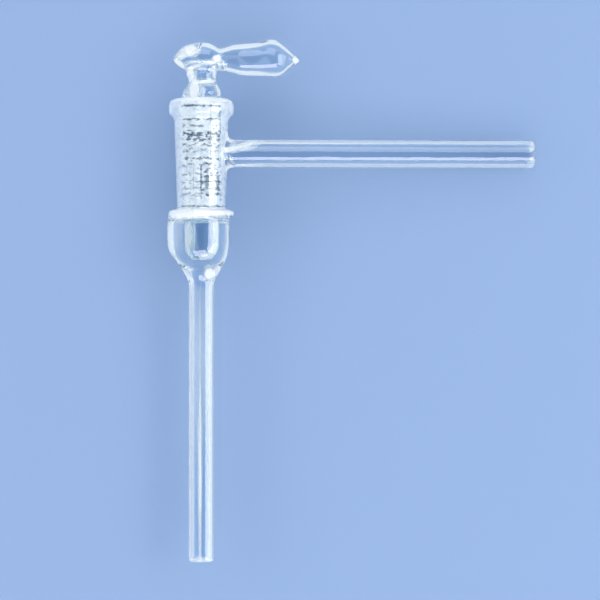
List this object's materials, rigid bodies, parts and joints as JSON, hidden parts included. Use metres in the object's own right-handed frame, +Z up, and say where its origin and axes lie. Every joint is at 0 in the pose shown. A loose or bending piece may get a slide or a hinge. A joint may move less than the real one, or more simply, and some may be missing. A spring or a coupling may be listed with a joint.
{
  "type": "right-angle glass stopcock",
  "caption": "Clear glass right-angle vacuum stopcock: ground barrel with bulb and two long tubes, and a hollow tapered plug turned by a blown key.",
  "frame": {"origin": "middle of the part's box seen from above, on the surface that the part lies on", "axes": "+Y along the barrel's axis from the lower tube's end towards the key, +X towards the open end of the side tube, +Z up from the surface"},
  "size_m": [0.1474, 0.2088, 0.026],
  "materials": {
    "barrel_glass": "clear fire-polished borosilicate glass, frosted white where the barrel is ground inside",
    "plug_glass": "clear blown borosilicate glass, frosted white on the ground cone"
  },
  "bodies": {
    "barrel": {"barrel": "barrel_glass"},
    "plug": {"plug": "plug_glass"}
  },
  "joints": [
    {"name": "plug_turn", "type": "hinge", "parent": "barrel", "child": "plug", "pos_m": [-0.06014, 0.0588, 0.013], "axis": [0, -1, 0], "continuous": true}
  ]
}
